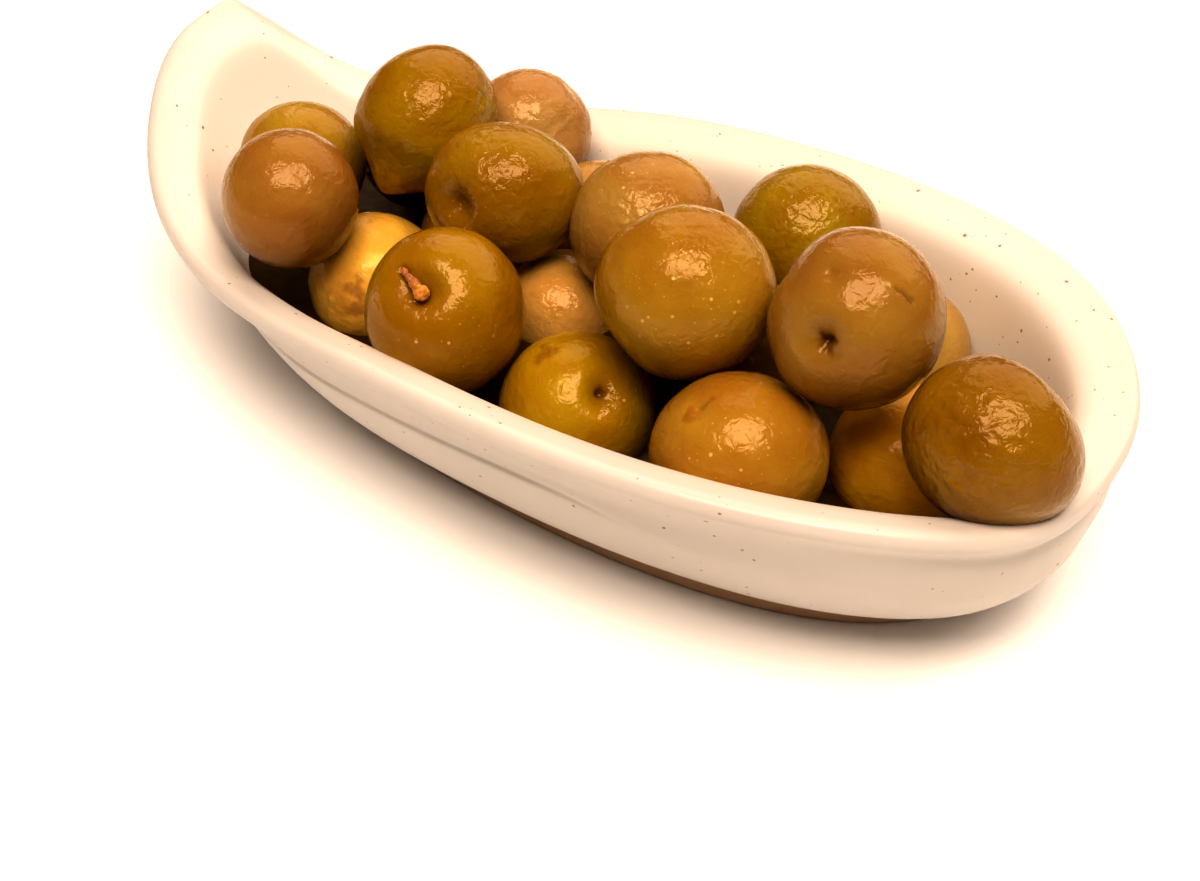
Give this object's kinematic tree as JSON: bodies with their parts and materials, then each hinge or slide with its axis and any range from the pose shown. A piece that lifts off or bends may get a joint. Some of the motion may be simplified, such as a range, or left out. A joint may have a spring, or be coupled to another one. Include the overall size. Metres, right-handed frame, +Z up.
{
  "type": "dish of olives",
  "caption": "Teardrop-shaped cream glazed dish on an oval foot, its narrow end raised to a point, heaped with large glossy green olives",
  "frame": {"origin": "centre of the footprint of the whole, on the table that the foot stands on", "axes": "+X along the dish from its raised narrow end to its wide end, +Y across it towards the far side in the picture, +Z up"},
  "size_m": [0.1697, 0.0912, 0.0554],
  "materials": {
    "cream_glaze": "glossy cream ceramic glaze with sparse brown speckles",
    "olive_skin": "wet glossy skin, olive green to tan brown, with fine wrinkles and pale dots"
  },
  "bodies": {
    "root": {"dish": "cream_glaze", "olives": "olive_skin"}
  },
  "joints": []
}
